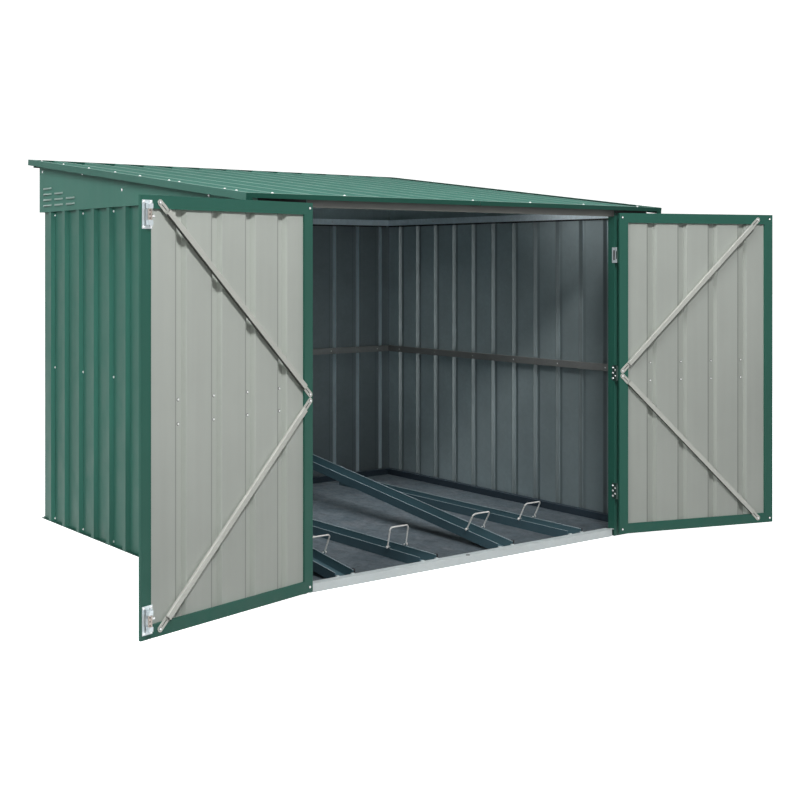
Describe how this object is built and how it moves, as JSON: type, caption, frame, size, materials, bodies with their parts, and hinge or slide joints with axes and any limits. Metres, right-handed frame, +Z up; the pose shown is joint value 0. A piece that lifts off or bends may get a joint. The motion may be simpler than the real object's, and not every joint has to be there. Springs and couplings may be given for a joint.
{
  "type": "bike shelter",
  "caption": "Metal bike shelter with a pent roof, ribbed green walls, outward opening braced double doors and a floor with wheel trays under pivoting wheel hoops.",
  "frame": {"origin": "centre of the base, on the ground", "axes": "+X to the right along the front, +Y from the front to the back, +Z up"},
  "size_m": [3.0104, 2.1507, 1.6173],
  "materials": {
    "green_paint": "satin green coated sheet, pale grey on the inside of the doors and bare galvanised inside the walls",
    "galvanised_steel": "bare galvanised",
    "zinc_plated_steel": "bright zinc plating",
    "brace_steel": "dull zinc plated tube",
    "tray_paint": "dark blue grey coated sheet",
    "floor_board": "mottled dark grey coated board"
  },
  "bodies": {
    "shelter": {"left_wall": "green_paint", "right_wall": "green_paint", "back_wall": "green_paint", "front_panel_left": "green_paint", "front_panel_right": "green_paint", "door_jamb_left": "green_paint", "door_jamb_right": "green_paint", "gable_left": "green_paint", "gable_right": "green_paint", "back_upper_panel": "green_paint", "roof_sheet_1": "green_paint", "roof_sheet_2": "green_paint", "roof_sheet_3": "green_paint", "roof_front_trim": "green_paint", "roof_back_trim": "green_paint", "roof_side_trims": "green_paint", "base_rails": "galvanised_steel", "threshold": "galvanised_steel", "front_header": "galvanised_steel", "wall_top_channels": "galvanised_steel", "wall_mid_rails": "galvanised_steel", "floor_panel": "floor_board", "jamb_hinge_leaves": "zinc_plated_steel", "wheel_tray_1": "tray_paint", "wheel_tray_2": "tray_paint", "wheel_tray_3": "tray_paint", "wheel_tray_4": "tray_paint", "tray_stands": "tray_paint"},
    "left_door": {"left_door_frame": "green_paint", "left_door_panel": "green_paint", "left_door_cover_rail": "green_paint", "left_door_braces": "brace_steel", "left_door_hinge_leaves": "zinc_plated_steel", "bolt_cases": "zinc_plated_steel"},
    "right_door": {"right_door_frame": "green_paint", "right_door_panel": "green_paint", "right_door_cover_rail": "green_paint", "right_door_braces": "brace_steel", "right_door_hinge_leaves": "zinc_plated_steel"},
    "upper_bolt": {"upper_bolt_rod": "zinc_plated_steel"},
    "lower_bolt": {"lower_bolt_rod": "zinc_plated_steel"},
    "hoop_1": {"wheel_hoop_1": "zinc_plated_steel"},
    "hoop_2": {"wheel_hoop_2": "zinc_plated_steel"},
    "hoop_3": {"wheel_hoop_3": "zinc_plated_steel"},
    "hoop_4": {"wheel_hoop_4": "zinc_plated_steel"}
  },
  "joints": [
    {"name": "left_door_hinge", "type": "hinge", "parent": "shelter", "child": "left_door", "pos_m": [-0.77, -0.939, 0.6875], "axis": [0, 0, 1], "range_deg": [-8.4, 166.6]},
    {"name": "right_door_hinge", "type": "hinge", "parent": "shelter", "child": "right_door", "pos_m": [0.77, -0.939, 0.6875], "axis": [0, 0, -1], "range_deg": [-12.8, 162.2]},
    {"name": "upper_bolt_slide", "type": "slide", "parent": "left_door", "child": "upper_bolt", "axis": [0, 0, 1], "range_m": [0, 0.02]},
    {"name": "lower_bolt_slide", "type": "slide", "parent": "left_door", "child": "lower_bolt", "axis": [0, 0, -1], "range_m": [0, 0.02]},
    {"name": "hoop_1_pivot", "type": "hinge", "parent": "shelter", "child": "hoop_1", "pos_m": [-0.585, -0.68556, 0.07133], "axis": [-1, 0, 0], "range_deg": [-53, 37]},
    {"name": "hoop_2_pivot", "type": "hinge", "parent": "shelter", "child": "hoop_2", "pos_m": [-0.195, -0.678, 0.048], "axis": [-1, 0, 0], "range_deg": [-68, 22]},
    {"name": "hoop_3_pivot", "type": "hinge", "parent": "shelter", "child": "hoop_3", "pos_m": [0.195, -0.6935, 0.07035], "axis": [-1, 0, 0], "range_deg": [-48, 42]},
    {"name": "hoop_4_pivot", "type": "hinge", "parent": "shelter", "child": "hoop_4", "pos_m": [0.585, -0.585, 0.048], "axis": [-1, 0, 0], "range_deg": [-51, 39]}
  ]
}
